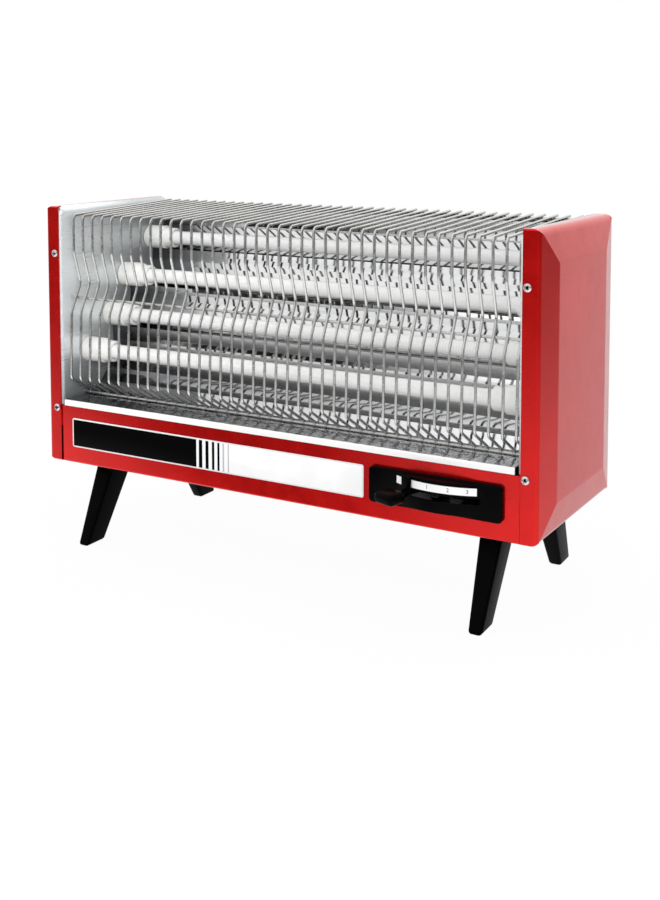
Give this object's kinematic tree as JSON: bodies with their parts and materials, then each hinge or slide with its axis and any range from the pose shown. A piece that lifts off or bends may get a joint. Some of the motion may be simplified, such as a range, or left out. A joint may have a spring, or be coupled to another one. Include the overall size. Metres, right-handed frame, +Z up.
{
  "type": "electric radiant heater",
  "caption": "Free-standing electric quartz heater: white tubes before a fluted reflector, wire guard, red enamelled end panels and front, selector lever, splayed black legs.",
  "frame": {"origin": "on the floor, centred under the whole object's box", "axes": "+X along the heater towards the selector's side, the front faces -Y, +Z up"},
  "size_m": [0.5844, 0.27, 0.3692],
  "materials": {
    "red_paint": "gloss stove enamel",
    "black_paint": "satin black enamel",
    "black_plastic": "polished black moulding",
    "mirror_aluminium": "bright rolled sheet",
    "brushed_aluminium": "brushed",
    "chrome_wire": "bright plated wire",
    "white_quartz": "milky fused quartz",
    "white_ceramic": "matt fired steatite",
    "resistance_wire": "oxidised alloy",
    "zinc_steel": "zinc plated",
    "printed_plate": "satin anodised with black print",
    "scale_white": "white print on film"
  },
  "bodies": {
    "heater": {"back_panel": "black_paint", "base_tray": "zinc_steel", "chamber_floor": "mirror_aluminium", "control_bezel": "black_plastic", "cord_gland": "black_plastic", "front_left_leg": "black_plastic", "front_left_leg_screw": "zinc_steel", "front_panel": "red_paint", "front_right_leg": "black_plastic", "front_right_leg_screw": "zinc_steel", "front_screw_left_lower": "zinc_steel", "front_screw_left_upper": "zinc_steel", "front_screw_right_lower": "zinc_steel", "front_screw_right_upper": "zinc_steel", "heater_lead": "white_ceramic", "heating_coil_1": "resistance_wire", "heating_coil_2": "resistance_wire", "heating_coil_3": "resistance_wire", "heating_coil_4": "resistance_wire", "left_bus_bar": "zinc_steel", "left_cap_1": "white_ceramic", "left_cap_2": "white_ceramic", "left_cap_3": "white_ceramic", "left_cap_4": "white_ceramic", "left_end_plate": "brushed_aluminium", "left_side_panel": "red_paint", "mains_lead": "black_plastic", "printed_plate": "printed_plate", "quartz_tube_1": "white_quartz", "quartz_tube_2": "white_quartz", "quartz_tube_3": "white_quartz", "quartz_tube_4": "white_quartz", "rear_left_leg": "black_plastic", "rear_left_leg_screw": "zinc_steel", "rear_right_leg": "black_plastic", "rear_right_leg_screw": "zinc_steel", "rear_screw_left_lower": "zinc_steel", "rear_screw_left_upper": "zinc_steel", "rear_screw_right_lower": "zinc_steel", "rear_screw_right_upper": "zinc_steel", "reflector": "mirror_aluminium", "right_cap_1": "white_ceramic", "right_cap_2": "white_ceramic", "right_cap_3": "white_ceramic", "right_cap_4": "white_ceramic", "right_end_plate": "brushed_aluminium", "right_side_panel": "red_paint", "rotary_switch": "black_plastic", "scale_strip": "scale_white", "switch_bracket": "zinc_steel", "switch_lead": "black_plastic", "terminal_block": "white_ceramic", "wire_guard": "chrome_wire"},
    "lever": {"selector_lever": "black_plastic"}
  },
  "joints": [
    {"name": "selector_swing", "type": "hinge", "parent": "heater", "child": "lever", "pos_m": [0.188, -0.00995, 0.1248], "axis": [0, 0, 1], "range_deg": [0, 39]}
  ]
}
